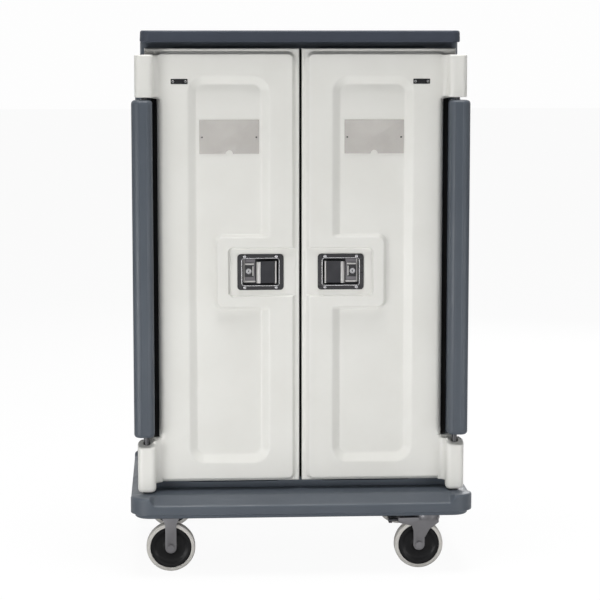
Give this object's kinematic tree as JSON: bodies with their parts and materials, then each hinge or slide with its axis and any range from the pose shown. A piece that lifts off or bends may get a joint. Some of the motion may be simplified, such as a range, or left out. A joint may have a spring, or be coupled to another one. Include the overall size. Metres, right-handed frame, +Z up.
{
  "type": "enclosed meal tray cart",
  "caption": "Enclosed meal tray cart: insulated body with tray compartments, full-height doors that swing round to the ends, handle posts and casters.",
  "frame": {"origin": "on the floor, under the middle of the base", "axes": "+Z up, +X to the right of someone facing the doors, -Y out of the doors towards them"},
  "size_m": [1.044, 0.8, 1.649],
  "materials": {
    "shell_grey": "moulded dark grey polyethylene with a fine grain",
    "door_cream": "moulded off-white polyethylene, satin",
    "rail_cream": "moulded off-white polyethylene",
    "bright_steel": "bright plated steel",
    "plain_steel": "zinc plated steel",
    "caster_steel": "grey painted pressed steel",
    "seal_rubber": "black foam rubber",
    "bush_black": "black nylon",
    "clear_card": "clear plastic sheet",
    "catch_black": "black",
    "paddle_black": "black",
    "core_black": "black moulded core",
    "tread_grey": "grey thermoplastic rubber tread"
  },
  "bodies": {
    "cart": {"base": "shell_grey", "body_shell": "shell_grey", "roof": "shell_grey", "left_tray_rails": "rail_cream", "right_tray_rails": "rail_cream", "front_left_post": "shell_grey", "front_right_post": "shell_grey", "rear_left_post": "shell_grey", "rear_right_post": "shell_grey", "left_hinge_pins": "bright_steel", "right_hinge_pins": "bright_steel", "left_striker": "plain_steel", "right_striker": "plain_steel", "left_side_magnet": "catch_black", "right_side_magnet": "catch_black", "fixed_fork_front": "caster_steel", "fixed_fork_rear": "caster_steel", "swivel_plate_front": "caster_steel", "swivel_plate_rear": "caster_steel", "caster_axles_fixed": "plain_steel", "caster_bolts": "plain_steel"},
    "left_door_leaf": {"left_door": "door_cream", "left_door_seal": "seal_rubber", "left_hinge_bushes": "bush_black", "left_card_holder": "clear_card", "left_catch_plate": "catch_black", "left_door_screws": "bright_steel", "left_latch_pan": "bright_steel", "left_latch_case": "plain_steel"},
    "left_paddle_lever": {"left_paddle": "paddle_black"},
    "left_lock": {"left_lock_plug": "bright_steel"},
    "left_latch_pawl": {"left_pawl": "plain_steel"},
    "right_door_leaf": {"right_door": "door_cream", "right_door_seal": "seal_rubber", "right_hinge_bushes": "bush_black", "right_card_holder": "clear_card", "right_catch_plate": "catch_black", "right_door_screws": "bright_steel", "right_latch_pan": "bright_steel", "right_latch_case": "plain_steel"},
    "right_paddle_lever": {"right_paddle": "paddle_black"},
    "right_lock": {"right_lock_plug": "bright_steel"},
    "right_latch_pawl": {"right_pawl": "plain_steel"},
    "fixed_roller_front": {"fixed_wheel_front": "core_black", "fixed_tyre_front": "tread_grey"},
    "swivel_front": {"swivel_fork_front": "caster_steel", "swivel_axle_front": "plain_steel"},
    "swivel_roller_front": {"swivel_wheel_front": "core_black", "swivel_tyre_front": "tread_grey"},
    "brake_front": {"brake_pedal_front": "paddle_black"},
    "fixed_roller_rear": {"fixed_wheel_rear": "core_black", "fixed_tyre_rear": "tread_grey"},
    "swivel_rear": {"swivel_fork_rear": "caster_steel", "swivel_axle_rear": "plain_steel"},
    "swivel_roller_rear": {"swivel_wheel_rear": "core_black", "swivel_tyre_rear": "tread_grey"},
    "brake_rear": {"brake_pedal_rear": "paddle_black"}
  },
  "joints": [
    {"name": "left_door_swing", "type": "hinge", "parent": "cart", "child": "left_door_leaf", "pos_m": [-0.472, -0.305, 0.9], "axis": [0, 0, 1], "range_deg": [-270, 0]},
    {"name": "left_paddle_pull", "type": "hinge", "parent": "left_door_leaf", "child": "left_paddle_lever", "pos_m": [-0.076, -0.2715, 0.919], "axis": [0, 0, 1], "range_deg": [0, 38], "stiffness_Nm_per_rad": 0.4},
    {"name": "left_pawl_turn", "type": "hinge", "parent": "left_door_leaf", "child": "left_latch_pawl", "pos_m": [-0.0785, -0.252, 0.919], "axis": [0, 0, 1], "range_deg": [0, 19]},
    {"name": "left_lock_turn", "type": "hinge", "parent": "left_door_leaf", "child": "left_lock", "pos_m": [-0.1585, -0.2735, 0.919], "axis": [0, 1, 0], "range_deg": [0, 90]},
    {"name": "right_door_swing", "type": "hinge", "parent": "cart", "child": "right_door_leaf", "pos_m": [0.472, -0.305, 0.9], "axis": [0, 0, 1], "range_deg": [0, 270]},
    {"name": "right_paddle_pull", "type": "hinge", "parent": "right_door_leaf", "child": "right_paddle_lever", "pos_m": [0.076, -0.2715, 0.919], "axis": [0, 0, 1], "range_deg": [-38, 0], "stiffness_Nm_per_rad": 0.4},
    {"name": "right_pawl_turn", "type": "hinge", "parent": "right_door_leaf", "child": "right_latch_pawl", "pos_m": [0.0785, -0.252, 0.919], "axis": [0, 0, 1], "range_deg": [-19, 0]},
    {"name": "right_lock_turn", "type": "hinge", "parent": "right_door_leaf", "child": "right_lock", "pos_m": [0.1585, -0.2735, 0.919], "axis": [0, 1, 0], "range_deg": [-90, 0]},
    {"name": "fixed_wheel_front_spin", "type": "hinge", "parent": "cart", "child": "fixed_roller_front", "pos_m": [-0.401, -0.3, 0.075], "axis": [0, 1, 0], "continuous": true},
    {"name": "swivel_front_turn", "type": "hinge", "parent": "cart", "child": "swivel_front", "pos_m": [0.391, -0.3, 0.16], "axis": [0, 0, 1], "continuous": true},
    {"name": "swivel_wheel_front_spin", "type": "hinge", "parent": "swivel_front", "child": "swivel_roller_front", "pos_m": [0.363, -0.3, 0.075], "axis": [0, 1, 0], "continuous": true},
    {"name": "brake_pedal_front_press", "type": "hinge", "parent": "swivel_front", "child": "brake_front", "pos_m": [0.306, -0.3, 0.15], "axis": [0, 1, 0], "range_deg": [-12, 0]},
    {"name": "fixed_wheel_rear_spin", "type": "hinge", "parent": "cart", "child": "fixed_roller_rear", "pos_m": [-0.401, 0.3, 0.075], "axis": [0, 1, 0], "continuous": true},
    {"name": "swivel_rear_turn", "type": "hinge", "parent": "cart", "child": "swivel_rear", "pos_m": [0.391, 0.3, 0.16], "axis": [0, 0, 1], "continuous": true},
    {"name": "swivel_wheel_rear_spin", "type": "hinge", "parent": "swivel_rear", "child": "swivel_roller_rear", "pos_m": [0.363, 0.3, 0.075], "axis": [0, 1, 0], "continuous": true},
    {"name": "brake_pedal_rear_press", "type": "hinge", "parent": "swivel_rear", "child": "brake_rear", "pos_m": [0.306, 0.3, 0.15], "axis": [0, 1, 0], "range_deg": [-12, 0]}
  ],
  "couplings": [
    {"joint": "left_pawl_turn", "follows": "left_paddle_pull", "ratio": 0.5},
    {"joint": "right_pawl_turn", "follows": "right_paddle_pull", "ratio": 0.5}
  ]
}
